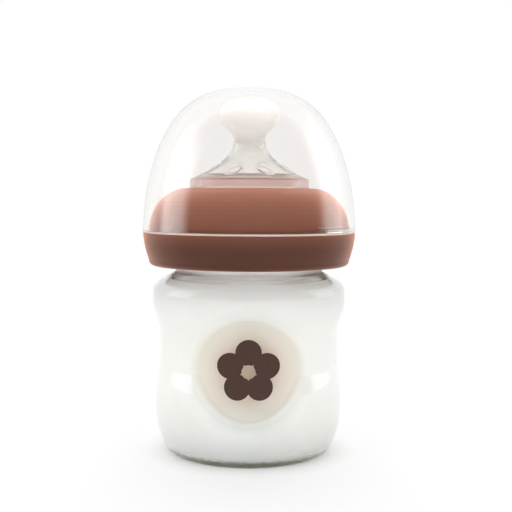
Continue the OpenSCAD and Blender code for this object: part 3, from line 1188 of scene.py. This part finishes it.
@dataclass
class Hood:
    """The clear dome and its two snap lugs; sizes in millimetres."""

    rim_z: float
    top_z: float
    rim_r: float
    body: str = "hood"
    wall: float = 1.3
    powers: Pair = (2.9, 1.9)
    dome_points: int = 400
    step: float = 0.62
    columns: int = 400
    rim_round: float = 0.35
    rim_points: int = 6
    lug_from: float = -48.0  # degrees
    lug_angle: float = 46.0
    lug_taper: float = 14.0  # its ends run out over one part in this many
    lug_points: int = 60
    lug_low: float = 0.6
    lug_h: float = 1.0
    lug_reach: float = 0.4
    lug_sunk: float = 0.4
    lug_flat: Pair = (0.25, 0.75)  # where its crest starts and ends, of its height
    # painted highlight along the cut rim
    rim_highlight_below: float = 1.0
    rim_highlight_h: float = 0.75
    rim_highlight_share: float = 0.65
    rim_highlight_colour: Colour = srgb(250, 238, 233)

    @property
    def finish(self) -> ClearWall:
        """The plastic, with a painted highlight: a pale band along its cut edge."""
        low, high = self.rim_z - self.rim_highlight_below, self.rim_z + self.rim_highlight_h
        return replace(HOOD_PLASTIC, veil=PaintedLightBand(low, high, self.rim_highlight_share, self.rim_highlight_colour))

    def dome(self, inset: float) -> Array:
        """Follow the dome from its rim to its top, inset from the outside."""
        reach = (self.rim_r - inset, self.top_z - inset - self.rim_z)
        return oval_quarter((0, self.rim_z), reach, self.powers, self.dome_points)

    def build(self) -> None:
        """Make the dome and its lugs."""
        turn = self.rim_round
        lift = self.rim_z + turn
        outer, inner = (resampled(self.dome(inset), self.step) for inset in (0, self.wall))
        outer, inner = (part[part[:, 1] > lift] for part in (outer, inner))
        rim_in = arc((self.rim_r - self.wall + turn, lift), turn, 180, 270, self.rim_points)
        rim_out = arc((self.rim_r - turn, lift), turn, -90, 0, self.rim_points)
        outline = np.concatenate([inner[::-1][1:], rim_in, rim_out, outer[:-1]])
        grid = turned(outline, np.linspace(0, FULL_TURN, self.columns, endpoint=False))
        dome = dressed(surface("hood_dome", grid, Seam.POLES), self.finish)
        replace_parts(dome, "clear_hood")
        for piece in (dome, self.lug(0), self.lug(1)):
            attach(piece, self.body)

    def lug(self, number: int) -> Piece:
        """Make a snap lug: a small rounded section carried round part of a circle.

        Args:
            number: 0 or 1.

        Returns:
            The piece.
        """
        first = self.lug_from + 180 * number
        angle = np.radians(np.linspace(first, first + self.lug_angle, self.lug_points))
        t = np.linspace(0, 1, self.lug_points)
        reach = self.lug_reach * smoothstep(np.minimum(t, 1 - t) * self.lug_taper)
        across = np.array([self.lug_sunk, 0, -1, -1, 0, self.lug_sunk])
        up = np.array([0, 0, *self.lug_flat, 1, 1]) * self.lug_h
        radii = self.rim_r - self.wall + np.where(across > 0, across, across * reach[:, None])
        grid = around(radii, angle[:, None], self.rim_z + self.lug_low + up)
        return dressed(surface(f"hood_lug_{number + 1}", grid, Seam.SWEPT), self.finish)


# ---- studio ----


@dataclass(frozen=True)
class SoftBox:
    """A soft lamp that faces the bottle; lengths in metres."""

    name: str
    turn: float  # degrees from the camera's side towards +X
    distance: float
    height: float
    size: Pair
    watts: float
    aim_z: float = 0.06

    def build(self) -> None:
        """Make the lamp at its place, facing the bottle's axis and hidden from mirrors."""
        lamp = bpy.data.lights.new(self.name, "AREA")
        lamp.shape = "RECTANGLE"
        lamp.size, lamp.size_y = self.size
        lamp.energy = self.watts
        made = bpy.data.objects.new(self.name, lamp)
        turn, out = math.radians(self.turn), self.distance
        made.location = (out * math.sin(turn), -out * math.cos(turn), self.height)
        aim = Vector((0, 0, self.aim_z)) - made.location
        made.rotation_euler = aim.to_track_quat("-Z", "Y").to_euler()
        made.visible_camera = made.visible_glossy = made.visible_transmission = False
        bpy.context.scene.collection.objects.link(made)


@dataclass(frozen=True)
class Strip:
    """A soft upright strip of light that only mirrors see, far off to one side."""

    side: int  # -1 for the left and 1 for the right
    back: Pair  # how far behind the bottle it starts and ends, of 1
    up: Pair  # where its top starts and ends to fade, of 1
    strength: float
    soft: float = 0.12
    own_side: float = 0.1

    def light(self, x: Sock, y: Sock, z: Sock) -> Sock:
        """Give its light in a direction.

        It is a smooth step up and a smooth step down across, times a smooth step down at
        the top, times a step on its own side.

        Args:
            x: How far the direction goes to the right, of 1.
            y: How far it goes back.
            z: How far it goes up.

        Returns:
            The strength of the light.
        """
        (start, end), soft = self.back, self.soft
        across = y.ramp(start - soft, start + soft) * y.ramp(end + soft, end - soft)
        across = across * z.ramp(self.up[1], self.up[0])
        return across * x.ramp(0, self.own_side * self.side) * self.strength


@dataclass(frozen=True)
class Studio:
    """Floor, lamps, background and camera; lengths in metres unless they say otherwise."""

    boxes: tuple[SoftBox, ...] = (  # name, turn, distance, height, size, watts
        SoftBox("above_box", 0, 0.02, 0.75, (0.7, 0.7), 7.1),
        SoftBox("front_box", 0, 0.60, 0.36, (0.8, 0.25), 1.2),
        SoftBox("left_box", -60, 0.40, 0.45, (0.3, 0.3), 0.6),
        SoftBox("right_box", 60, 0.40, 0.45, (0.3, 0.3), 0.56),
        SoftBox("back_box", 180, 0.45, 0.55, (0.8, 0.4), 4.8),
    )
    strips: tuple[Strip, ...] = (  # side, back, up, strength
        Strip(-1, (-0.30, 0.30), (0.35, 0.75), 2.5),
        Strip(1, (-0.05, 0.50), (0.35, 0.75), 1.5),
    )
    ambient: float = 0.05
    front_gloss: float = 0.1
    dusk: Pair = (-0.3, 0.1)  # where front turns to back, of 1
    floor_side: float = 4.0
    floor_glow: float = 0.66
    floor_fade: Pair = (90.0, 260.0)  # millimetres from the axis
    # the glow fades in between these, so round the foot painted shadow deepens the real one
    floor_contact_shade: Pair = (18.0, 38.0)
    floor_grain: float = 1.5
    floor_gloss: Pair = (0.7, 0.1)  # least, and what the grain adds
    paper_seen: tuple[int, int] = (194, 202)  # greys of 0 to 255
    paper_lit: tuple[int, int] = (224, 231)
    camera_back: float = 0.320
    camera_z: float = 0.0860
    focal_mm: float = 66.796875
    sensor_mm: float = 36.0
    near_clip: float = 0.01
    pitch: float = 3.67  # degrees, as are the next two
    yaw: float = 0.42
    roll: float = 0.3

    def build(self) -> None:
        """Make everything round the bottle."""
        for box in self.boxes:
            box.build()
        self.floor()
        self.world()
        self.camera()

    def floor(self) -> None:
        """Make the pale floor: soft paper that glows a little for the camera, except round the
        foot, where the missing glow adds painted shadow to the real shadow.
        """
        half = self.floor_side / 2
        points = np.array([[-1, -1, 0], [1, -1, 0], [1, 1, 0], [-1, 1, 0]]) * half
        made = filled_mesh("floor", points, np.arange(4), np.array([4]))
        tree = Tree.of_material("paper_floor")
        grain = tree.noise(self.floor_grain)
        x, y, _ = tree.axes()
        out = x.hypot(y)
        seen, lit = (
            tree.principled(
                Base_Color=tree.blend(grain, *(srgb(grey, grey, grey) for grey in paper)),
                Roughness=self.floor_gloss[0] + self.floor_gloss[1] * grain,
                Specular_IOR_Level=0.0,
            )
            for paper in (self.paper_seen, self.paper_lit)
        )
        glow = tree.node("Emission", {"Color": WHITE})
        # no glow round the foot: painted shadow on top of the real shadow
        near, far = out.ramp(*self.floor_contact_shade), out.ramp(*self.floor_fade)
        seen = tree.mix(self.floor_glow * near + (1 - self.floor_glow) * far, seen, glow)
        made.data.materials.append(tree.done(tree.by_ray(LOOKING, lit, seen)))

    def world(self) -> None:
        """Make the background: white to look at, and a plain soft light on what it meets.

        A mirror sees white behind the bottle, dusk in front of it, and on each side a soft
        upright strip whose edges fade.
        """
        tree = Tree(bpy.data.worlds.new("studio"))
        x, y, z = tree.split(tree.node("TexCoord", output="Generated"))
        mirrored = tree.number("LightPath", output="Glossy Depth").ramp(0, 1)
        gloss = self.front_gloss + (1 - self.front_gloss) * y.ramp(*self.dusk)
        for strip in self.strips:
            gloss = gloss + strip.light(x, y, z)
        white, soft = (
            tree.node("Background", {"Color": WHITE, "Strength": strength})
            for strength in (1 + mirrored * (gloss - 1), self.ambient)
        )
        bpy.context.scene.world = tree.done(tree.by_ray(LOOKING, soft, white))

    def camera(self) -> None:
        """Make the camera in front of the bottle, a little above it and looking down."""
        lens = bpy.data.cameras.new("camera")
        lens.sensor_width, lens.clip_start = self.sensor_mm, self.near_clip
        lens.lens = self.focal_mm
        made = bpy.data.objects.new("camera", lens)
        made.location = (0, -self.camera_back, self.camera_z)
        pitch, yaw = math.radians(self.pitch), math.radians(self.yaw)
        level = math.cos(pitch)
        ahead = Vector((level * math.sin(yaw), level * math.cos(yaw), -math.sin(pitch)))
        roll = Quaternion((0, 0, 1), math.radians(self.roll))
        made.rotation_mode = "QUATERNION"
        made.rotation_quaternion = ahead.to_track_quat("-Z", "Y") @ roll
        bpy.context.scene.collection.objects.link(made)
        bpy.context.scene.camera = made
        bpy.context.scene.view_settings.view_transform = "Standard"


def main() -> None:
    """Build the bottle from its frame, dress it and set up the studio."""
    logging.basicConfig(level=logging.INFO, format="%(name)s: %(message)s")
    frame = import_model()
    nodes = frame["nodes"]

    _, glass_high = corners("glass_bottle")
    milk_low, milk_high = corners("milk_fill")
    shape = BottleShape(
        rim_z=glass_high[2], band_r=glass_high[0], milk_z=milk_high[2], floor_z=milk_low[2]
    )
    Bottle(shape).build()
    painted(nodes["front_print"], InkFinish())
    painted(nodes["volume_scale"], InkFinish())
    painted(nodes["screw_ring"], RING_PLASTIC)

    low, high = corners("silicone_teat")
    Teat(tip_z=high[2], base_z=low[2], flange_r=high[0], rim_z=shape.rim_z).build()
    low, high = corners("clear_hood")
    Hood(rim_z=low[2], top_z=high[2], rim_r=high[0]).build()

    Studio().build()


if __name__ == "__main__":
    main()
